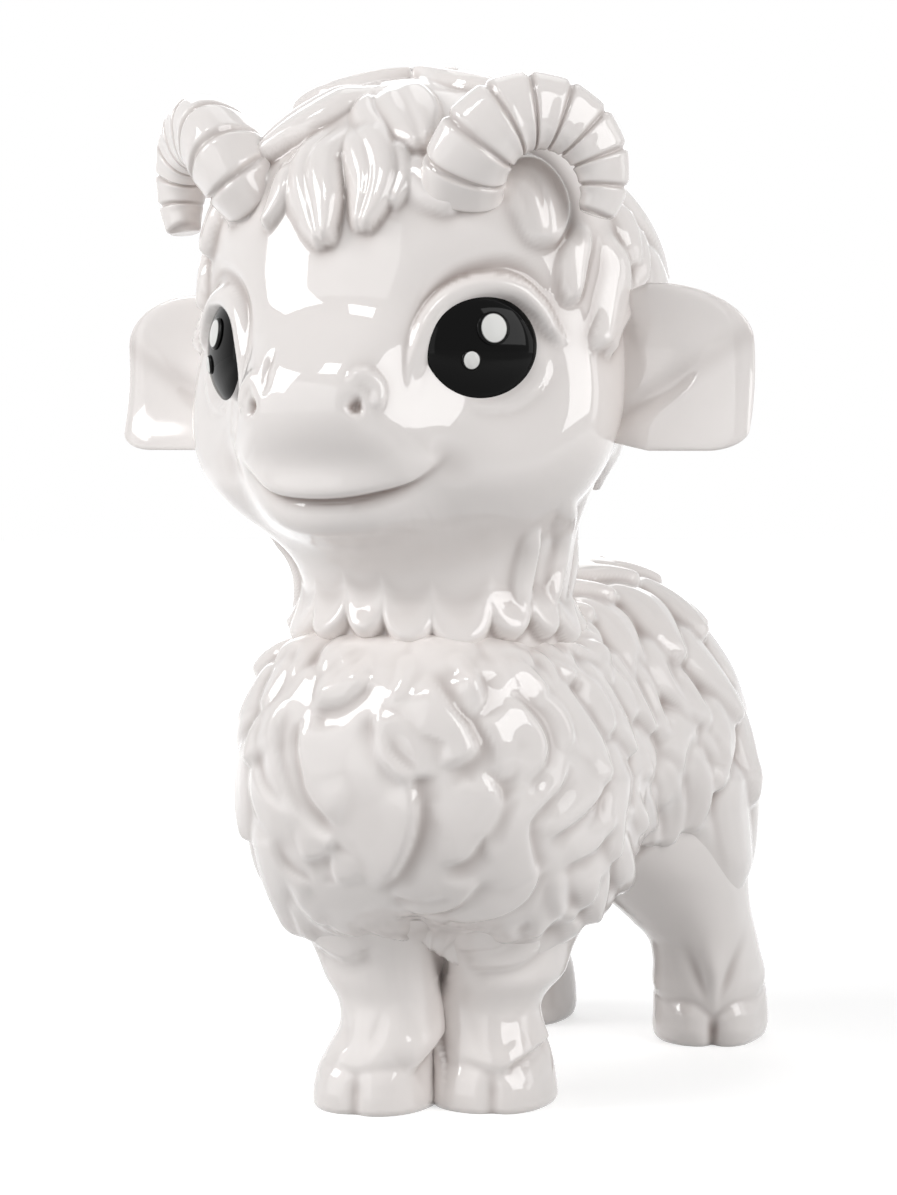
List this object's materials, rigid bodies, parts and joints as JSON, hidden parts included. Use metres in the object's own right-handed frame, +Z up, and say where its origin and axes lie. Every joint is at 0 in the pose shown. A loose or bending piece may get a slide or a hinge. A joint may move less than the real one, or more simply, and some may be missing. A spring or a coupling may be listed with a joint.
{
  "type": "goat figurine",
  "caption": "Standing ram kid ornament in white glazed ceramic with curled horns, cupped ears, black glazed eyes and a modelled fleece; a free-standing table decoration.",
  "frame": {"origin": "on the ground, under the middle of the figure's box", "axes": "+Z up, the kid faces -Y, +X to the kid's own left"},
  "size_m": [0.168, 0.1902, 0.2471],
  "materials": {
    "white_glaze": "clear gloss glaze over a warm white body",
    "black_glaze": "gloss black glaze",
    "white_enamel": "raised dot of gloss white enamel"
  },
  "bodies": {
    "root": {"torso": "white_glaze", "tail": "white_glaze", "head": "white_glaze", "left_ear": "white_glaze", "right_ear": "white_glaze", "left_horn": "white_glaze", "right_horn": "white_glaze", "left_eye": "black_glaze", "right_eye": "black_glaze", "left_eye_glint_large": "white_enamel", "left_eye_glint_small": "white_enamel", "right_eye_glint_large": "white_enamel", "right_eye_glint_small": "white_enamel", "left_foreleg": "white_glaze", "right_foreleg": "white_glaze", "left_hind_leg": "white_glaze", "right_hind_leg": "white_glaze"}
  },
  "joints": []
}
